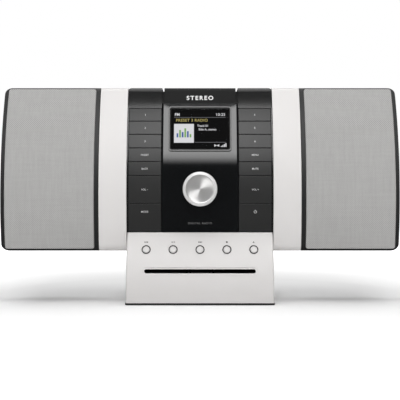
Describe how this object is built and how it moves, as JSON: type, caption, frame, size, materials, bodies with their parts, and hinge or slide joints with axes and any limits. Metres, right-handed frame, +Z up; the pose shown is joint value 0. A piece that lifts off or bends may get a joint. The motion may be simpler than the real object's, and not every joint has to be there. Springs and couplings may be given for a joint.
{
  "type": "mini hifi system",
  "caption": "Wide table stereo with a curved front: cloth-fronted speakers beside a control insert with keys, display and knob, on a white base with a disc slot.",
  "frame": {"origin": "on the floor, under the middle of the object's box", "axes": "+X to the viewer's right, +Y to the back, +Z up; the controls face -Y"},
  "size_m": [0.4564, 0.155, 0.25],
  "materials": {
    "white_plastic": "satin gloss white",
    "charcoal_plastic": "satin charcoal",
    "key_plastic": "satin dark grey",
    "gloss_black": "high gloss black",
    "bezel_plastic": "satin dark grey",
    "display_glass": "clear",
    "display": "colour display",
    "grille_fabric": "fine woven light grey",
    "black_plastic": "matte",
    "aluminium": "spun and bevelled",
    "steel": "plated",
    "magnet": "ferrite",
    "cone_paper": "pressed paper",
    "rubber": "matte",
    "circuit_board": "solder mask",
    "ring_metal": "dark chrome",
    "white_button": "satin gloss white",
    "turntable_plastic": "matte",
    "aerial_chrome": "polished"
  },
  "bodies": {
    "housing": {"front_frame": "white_plastic", "base_front": "white_plastic", "base_shell": "white_plastic", "rear_cover": "charcoal_plastic", "left_cabinet": "charcoal_plastic", "right_cabinet": "charcoal_plastic", "control_carrier": "charcoal_plastic", "header_panel": "charcoal_plastic", "base_plate": "charcoal_plastic", "control_panel": "gloss_black", "display_bezel": "bezel_plastic", "display_window": "display_glass", "display_module": "display", "left_grille_cloth": "grille_fabric", "right_grille_cloth": "grille_fabric", "grille_frames": "black_plastic", "encoder_body": "black_plastic", "rear_sockets": "black_plastic", "cd_chassis": "black_plastic", "driver_baskets": "steel", "cd_motors": "steel", "guide_rods": "steel", "screws": "steel", "driver_magnets": "magnet", "cone_surrounds": "rubber", "rubber_feet": "rubber", "switch_boards": "circuit_board", "main_board": "circuit_board", "button_rings": "ring_metal"},
    "key_1": {"key_1": "key_plastic"},
    "key_2": {"key_2": "key_plastic"},
    "key_3": {"key_3": "key_plastic"},
    "key_preset": {"key_preset": "key_plastic"},
    "key_back": {"key_back": "key_plastic"},
    "key_volume_down": {"key_volume_down": "key_plastic"},
    "key_mode": {"key_mode": "key_plastic"},
    "key_4": {"key_4": "key_plastic"},
    "key_5": {"key_5": "key_plastic"},
    "key_6": {"key_6": "key_plastic"},
    "key_menu": {"key_menu": "key_plastic"},
    "key_mute": {"key_mute": "key_plastic"},
    "key_volume_up": {"key_volume_up": "key_plastic"},
    "key_power": {"key_power": "key_plastic"},
    "disc_button_previous": {"disc_button_previous": "white_button"},
    "disc_button_play": {"disc_button_play": "white_button"},
    "disc_button_next": {"disc_button_next": "white_button"},
    "disc_button_stop": {"disc_button_stop": "white_button"},
    "disc_button_eject": {"disc_button_eject": "white_button"},
    "encoder_rotor": {"encoder_rotor": "black_plastic"},
    "knob": {"knob_cap": "aluminium", "encoder_shaft": "steel"},
    "left_cone": {"left_cone": "cone_paper"},
    "right_cone": {"right_cone": "cone_paper"},
    "turntable": {"turntable": "turntable_plastic"},
    "laser_sled": {"laser_sled": "black_plastic"},
    "loading_roller": {"loading_roller": "rubber"},
    "antenna_swivel": {"antenna_swivel": "aerial_chrome"},
    "antenna_lower": {"antenna_lower": "aerial_chrome"},
    "antenna_middle": {"antenna_middle": "aerial_chrome"},
    "antenna_tip": {"antenna_tip": "aerial_chrome"}
  },
  "joints": [
    {"name": "press_key_1", "type": "slide", "parent": "housing", "child": "key_1", "axis": [0, 0.9539, -0.3001], "range_m": [0, 0.0008], "stiffness_N_per_m": 1800},
    {"name": "press_key_4", "type": "slide", "parent": "housing", "child": "key_4", "axis": [0, 0.9539, -0.3001], "range_m": [0, 0.0008], "stiffness_N_per_m": 1800},
    {"name": "press_key_2", "type": "slide", "parent": "housing", "child": "key_2", "axis": [0, 0.9679, -0.2515], "range_m": [0, 0.0008], "stiffness_N_per_m": 1800},
    {"name": "press_key_5", "type": "slide", "parent": "housing", "child": "key_5", "axis": [0, 0.9679, -0.2515], "range_m": [0, 0.0008], "stiffness_N_per_m": 1800},
    {"name": "press_key_3", "type": "slide", "parent": "housing", "child": "key_3", "axis": [0, 0.9793, -0.2023], "range_m": [0, 0.0008], "stiffness_N_per_m": 1800},
    {"name": "press_key_6", "type": "slide", "parent": "housing", "child": "key_6", "axis": [0, 0.9793, -0.2023], "range_m": [0, 0.0008], "stiffness_N_per_m": 1800},
    {"name": "press_key_preset", "type": "slide", "parent": "housing", "child": "key_preset", "axis": [0, 0.9883, -0.1526], "range_m": [0, 0.0008], "stiffness_N_per_m": 1800},
    {"name": "press_key_menu", "type": "slide", "parent": "housing", "child": "key_menu", "axis": [0, 0.9883, -0.1526], "range_m": [0, 0.0008], "stiffness_N_per_m": 1800},
    {"name": "press_key_back", "type": "slide", "parent": "housing", "child": "key_back", "axis": [0, 0.9947, -0.1025], "range_m": [0, 0.0008], "stiffness_N_per_m": 1800},
    {"name": "press_key_mute", "type": "slide", "parent": "housing", "child": "key_mute", "axis": [0, 0.9947, -0.1025], "range_m": [0, 0.0008], "stiffness_N_per_m": 1800},
    {"name": "press_key_volume_down", "type": "slide", "parent": "housing", "child": "key_volume_down", "axis": [0, 0.9996, -0.0276], "range_m": [0, 0.0008], "stiffness_N_per_m": 1800},
    {"name": "press_key_volume_up", "type": "slide", "parent": "housing", "child": "key_volume_up", "axis": [0, 0.9996, -0.0276], "range_m": [0, 0.0008], "stiffness_N_per_m": 1800},
    {"name": "press_key_mode", "type": "slide", "parent": "housing", "child": "key_mode", "axis": [0, 0.9973, 0.0731], "range_m": [0, 0.0008], "stiffness_N_per_m": 1800},
    {"name": "press_key_power", "type": "slide", "parent": "housing", "child": "key_power", "axis": [0, 0.9973, 0.0731], "range_m": [0, 0.0008], "stiffness_N_per_m": 1800},
    {"name": "press_disc_button_previous", "type": "slide", "parent": "housing", "child": "disc_button_previous", "axis": [0, 0.9124, -0.4093], "range_m": [0, 0.0008], "stiffness_N_per_m": 1800},
    {"name": "press_disc_button_play", "type": "slide", "parent": "housing", "child": "disc_button_play", "axis": [0, 0.9124, -0.4093], "range_m": [0, 0.0008], "stiffness_N_per_m": 1800},
    {"name": "press_disc_button_next", "type": "slide", "parent": "housing", "child": "disc_button_next", "axis": [0, 0.9124, -0.4093], "range_m": [0, 0.0008], "stiffness_N_per_m": 1800},
    {"name": "press_disc_button_stop", "type": "slide", "parent": "housing", "child": "disc_button_stop", "axis": [0, 0.9124, -0.4093], "range_m": [0, 0.0008], "stiffness_N_per_m": 1800},
    {"name": "press_disc_button_eject", "type": "slide", "parent": "housing", "child": "disc_button_eject", "axis": [0, 0.9124, -0.4093], "range_m": [0, 0.0008], "stiffness_N_per_m": 1800},
    {"name": "knob_spin", "type": "hinge", "parent": "housing", "child": "encoder_rotor", "pos_m": [0, -0.05737, 0.13005], "axis": [0, -0.9996, 0.0283], "continuous": true},
    {"name": "knob_push", "type": "slide", "parent": "encoder_rotor", "child": "knob", "axis": [0, 0.9996, -0.0283], "range_m": [0, 0.0006], "stiffness_N_per_m": 3000},
    {"name": "left_cone_stroke", "type": "slide", "parent": "housing", "child": "left_cone", "axis": [0, -1, 0], "range_m": [-0.002, 0.002], "stiffness_N_per_m": 2500},
    {"name": "right_cone_stroke", "type": "slide", "parent": "housing", "child": "right_cone", "axis": [0, -1, 0], "range_m": [-0.002, 0.002], "stiffness_N_per_m": 2500},
    {"name": "turntable_spin", "type": "hinge", "parent": "housing", "child": "turntable", "pos_m": [0, 0, 0.0317], "axis": [0, 0, 1], "continuous": true},
    {"name": "laser_sled_travel", "type": "slide", "parent": "housing", "child": "laser_sled", "axis": [0, 1, 0], "range_m": [0, 0.033]},
    {"name": "loading_roller_spin", "type": "hinge", "parent": "housing", "child": "loading_roller", "pos_m": [0, -0.061, 0.0312], "axis": [1, 0, 0], "continuous": true},
    {"name": "antenna_swivel_turn", "type": "hinge", "parent": "housing", "child": "antenna_swivel", "pos_m": [-0.1, 0.04888, 0.234], "axis": [0, -1, 0], "range_deg": [0, 180]},
    {"name": "antenna_fold", "type": "hinge", "parent": "antenna_swivel", "child": "antenna_lower", "pos_m": [-0.1, 0.05688, 0.234], "axis": [0, 0, 1], "range_deg": [0, 90]},
    {"name": "antenna_extend", "type": "slide", "parent": "antenna_lower", "child": "antenna_middle", "axis": [1, 0, 0], "range_m": [0, 0.15]},
    {"name": "antenna_tip_extend", "type": "slide", "parent": "antenna_middle", "child": "antenna_tip", "axis": [1, 0, 0], "range_m": [0, 0.15]}
  ],
  "couplings": [
    {"joint": "antenna_tip_extend", "follows": "antenna_extend", "ratio": 1}
  ]
}
